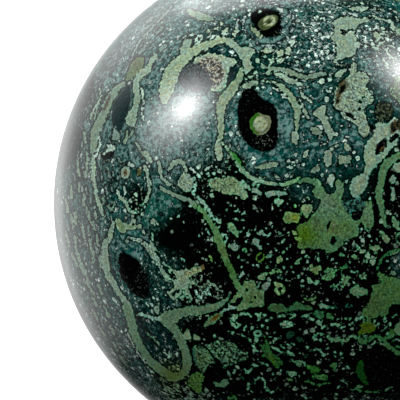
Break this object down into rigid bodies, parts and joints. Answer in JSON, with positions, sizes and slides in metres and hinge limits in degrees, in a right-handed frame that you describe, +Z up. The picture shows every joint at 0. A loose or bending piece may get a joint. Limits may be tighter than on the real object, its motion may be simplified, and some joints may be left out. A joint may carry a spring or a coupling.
{
  "type": "kambaba jasper sphere",
  "caption": "Polished ball of dark green kambaba jasper with black orbs and pale green bands, a display stone that rests on a level surface or in a ring stand.",
  "frame": {"origin": "the middle of the small flat on the underside, on which the ball rests", "axes": "+Z up through the ball's centre; the face seen in the picture looks towards -Y"},
  "size_m": [0.06, 0.06, 0.0598],
  "materials": {
    "polished_jasper": "high polish"
  },
  "bodies": {
    "root": {"sphere": "polished_jasper"}
  },
  "joints": []
}
